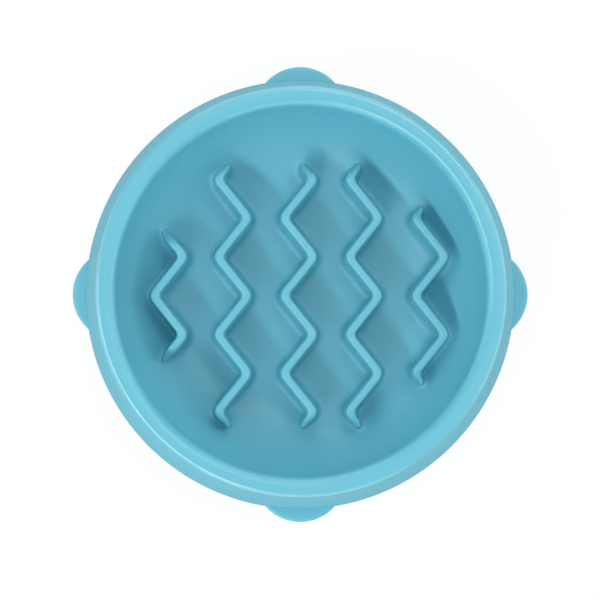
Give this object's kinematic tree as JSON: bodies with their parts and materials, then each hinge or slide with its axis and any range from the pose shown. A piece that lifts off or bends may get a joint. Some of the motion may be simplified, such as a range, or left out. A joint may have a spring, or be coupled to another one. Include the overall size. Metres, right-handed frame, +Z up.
{
  "type": "slow feeder bowl",
  "caption": "Round moulded pet bowl with a dished floor, zigzag maze ridges that slow eating, a rounded rim, half-round base tabs and rubber feet",
  "frame": {"origin": "on the ground under the middle of the bowl", "axes": "+Z up; the ridges run along Y, with the front at -Y; the four tabs and feet lie on the X and Y axes"},
  "size_m": [0.1834, 0.1834, 0.04],
  "materials": {
    "bowl_plastic": "satin moulded",
    "foot_rubber": "matte"
  },
  "bodies": {
    "root": {"bowl": "bowl_plastic", "foot_front": "foot_rubber", "foot_back": "foot_rubber", "foot_left": "foot_rubber", "foot_right": "foot_rubber"}
  },
  "joints": []
}
